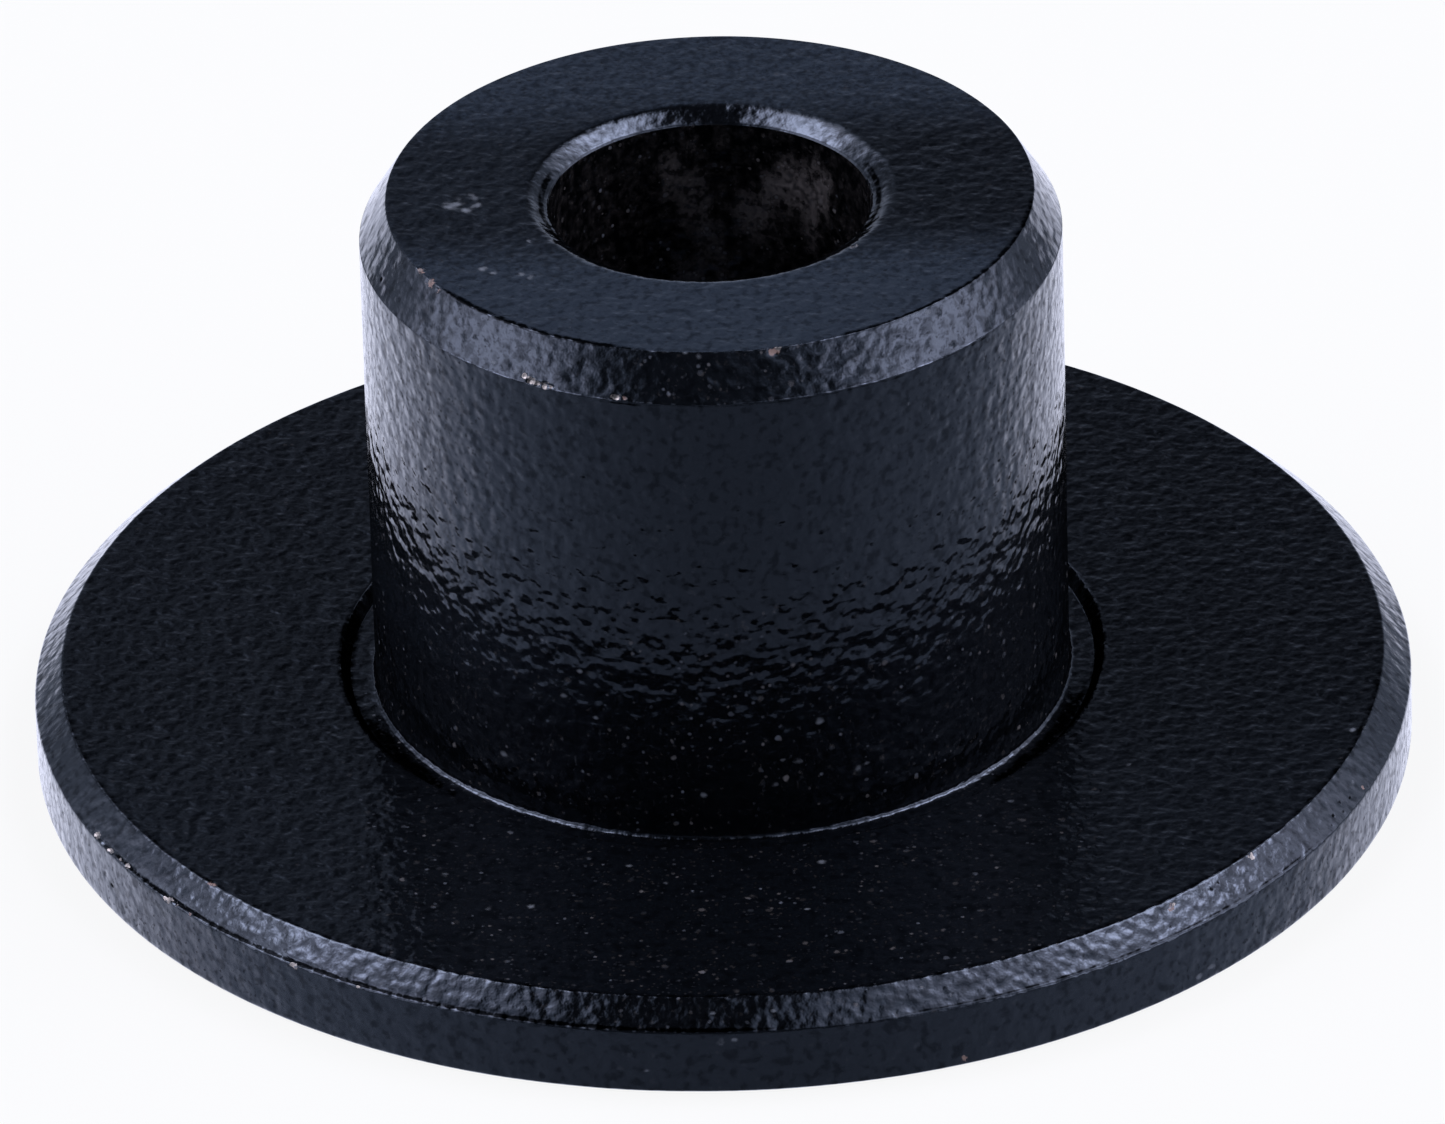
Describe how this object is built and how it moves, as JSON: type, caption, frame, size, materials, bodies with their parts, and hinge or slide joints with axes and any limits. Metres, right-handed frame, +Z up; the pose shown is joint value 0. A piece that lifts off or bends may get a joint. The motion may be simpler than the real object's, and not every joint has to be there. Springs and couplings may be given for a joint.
{
  "type": "flanged bushing",
  "caption": "Turned steel bushing with a wide round flange, a chamfered hub and a plain through bore, painted gloss black.",
  "frame": {"origin": "centre of the flange's underside, on the axis of the bore", "axes": "+Z up the bore, from the flange to the top of the hub; the part is round, so X and Y are free"},
  "size_m": [0.0476, 0.0476, 0.0213],
  "materials": {
    "black_paint": "gloss black paint with a fine orange peel, dust in the coat and small chips on the edges"
  },
  "bodies": {
    "root": {"bushing": "black_paint"}
  },
  "joints": []
}
